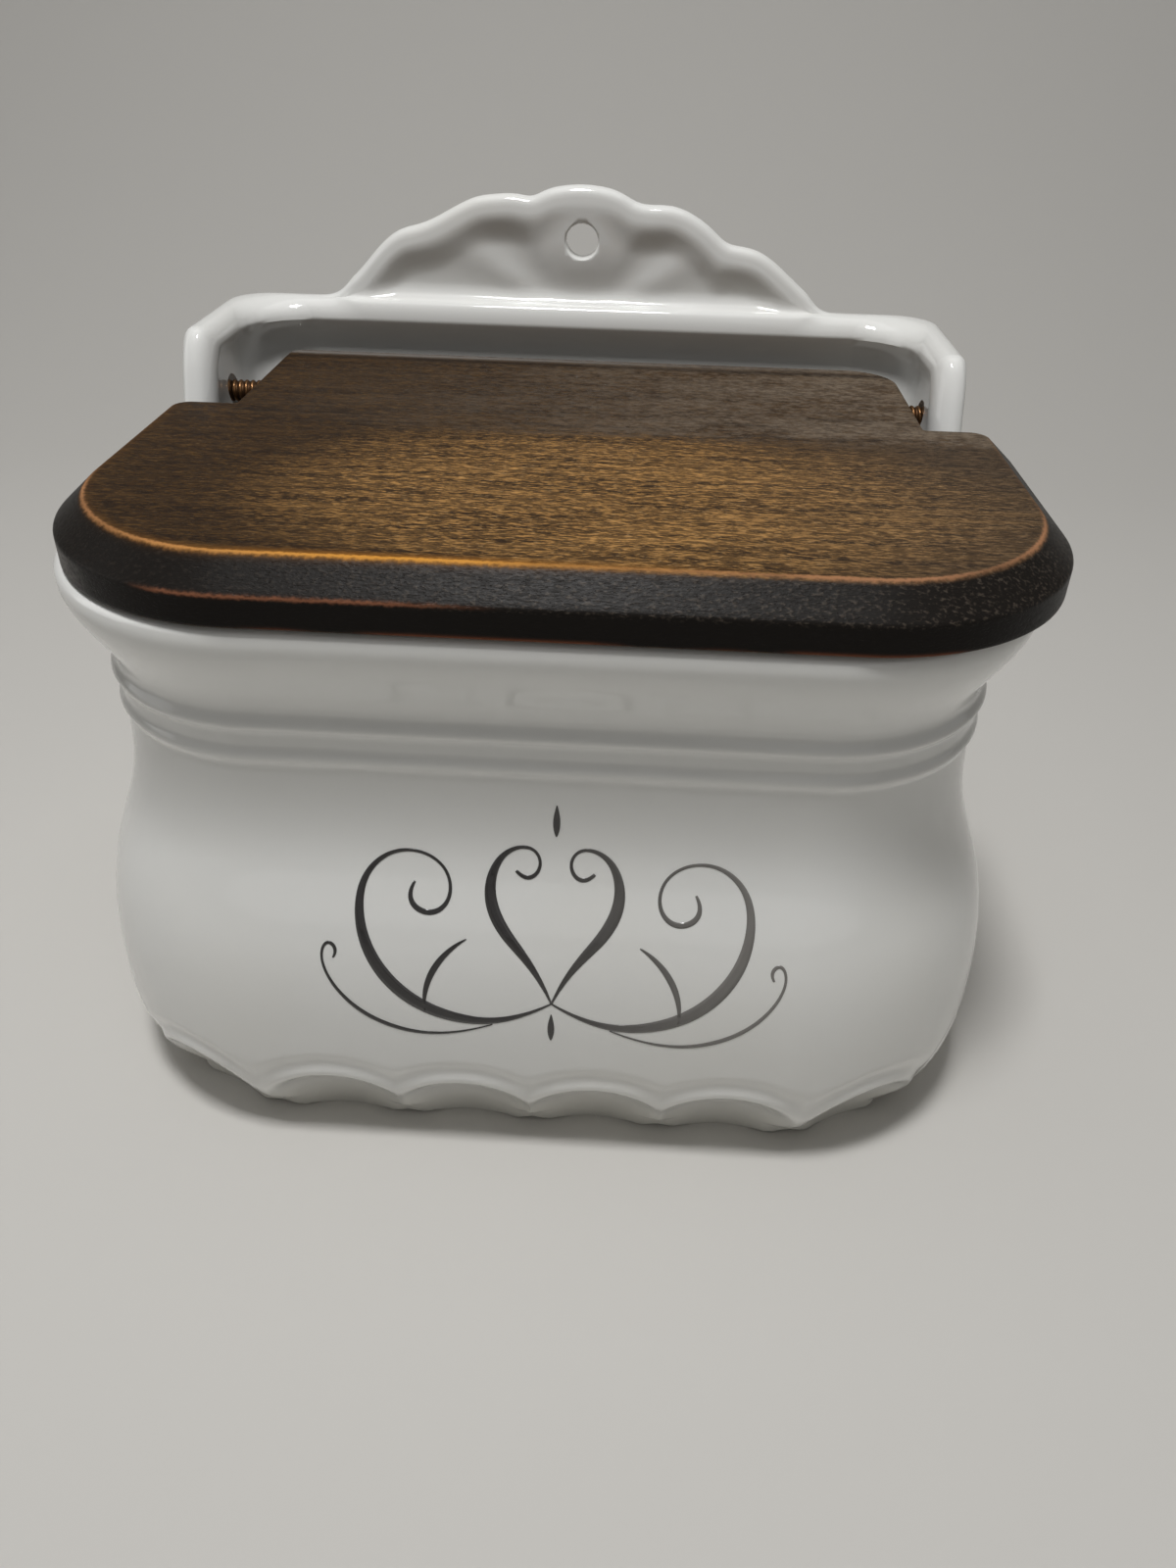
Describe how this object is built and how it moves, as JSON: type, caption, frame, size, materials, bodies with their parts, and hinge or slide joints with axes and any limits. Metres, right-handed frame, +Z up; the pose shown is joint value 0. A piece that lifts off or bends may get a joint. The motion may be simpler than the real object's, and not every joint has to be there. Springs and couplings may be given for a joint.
{
  "type": "salt pot",
  "caption": "Wall-hanging salt pot: a bellied glazed porcelain box with a scalloped foot, a lobed crest with a hanging hole, and a wooden lid that lifts on hinge pins.",
  "frame": {"origin": "under the middle of the pot's overall box, on the surface it stands on", "axes": "+Z up, +X to the right seen from the front, +Y to the wall behind, so the front faces -Y"},
  "size_m": [0.168, 0.126, 0.1463],
  "materials": {
    "glaze": "gloss",
    "walnut": "satin",
    "pin_brass": "dull"
  },
  "bodies": {
    "pot": {"pot": "glaze"},
    "lid": {"lid": "walnut", "hinge_pin_left": "pin_brass", "hinge_pin_right": "pin_brass"}
  },
  "joints": [
    {"name": "lid_hinge", "type": "hinge", "parent": "pot", "child": "lid", "pos_m": [0, 0.0375, 0.10905], "axis": [-1, 0, 0], "range_deg": [0, 112]}
  ]
}
